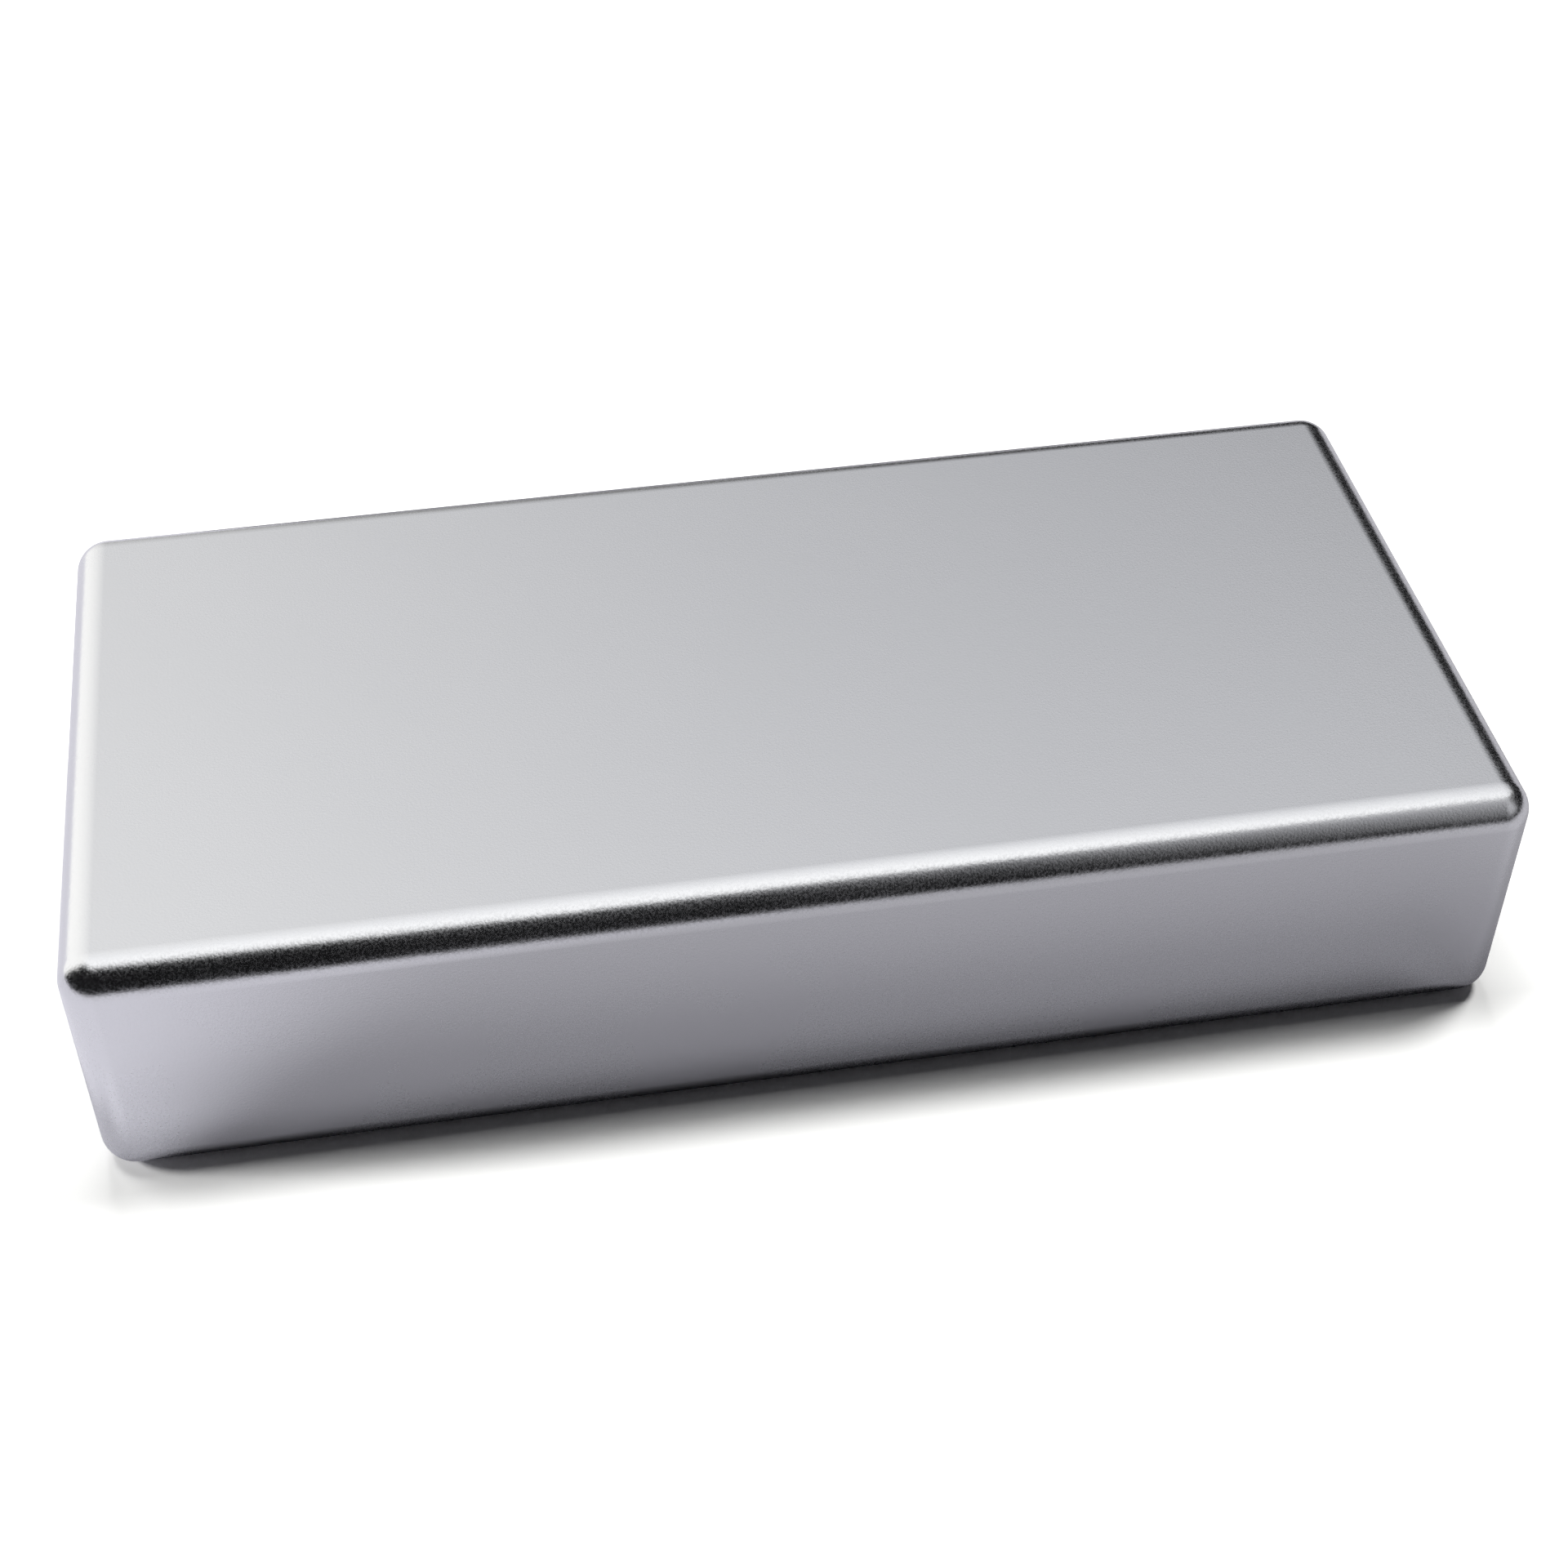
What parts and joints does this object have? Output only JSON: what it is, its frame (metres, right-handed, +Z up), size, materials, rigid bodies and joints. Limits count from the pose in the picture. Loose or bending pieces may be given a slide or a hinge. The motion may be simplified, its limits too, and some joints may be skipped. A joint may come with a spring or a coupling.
{
  "type": "block magnet",
  "caption": "Rectangular bar-shaped block magnet with smooth satin nickel plating, flat pole faces and every edge and corner rounded by tumbling.",
  "frame": {"origin": "centre of the lower pole face, on the surface that the magnet lies on", "axes": "+X along the length, +Y across the width, +Z up through the thickness, which is the direction of magnetisation"},
  "size_m": [0.04, 0.019, 0.008],
  "materials": {
    "nickel_plating": "satin nickel plating over a tumbled, fine-grained block: even cool light grey, softly mirror-like"
  },
  "bodies": {
    "root": {"block_magnet": "nickel_plating"}
  },
  "joints": []
}
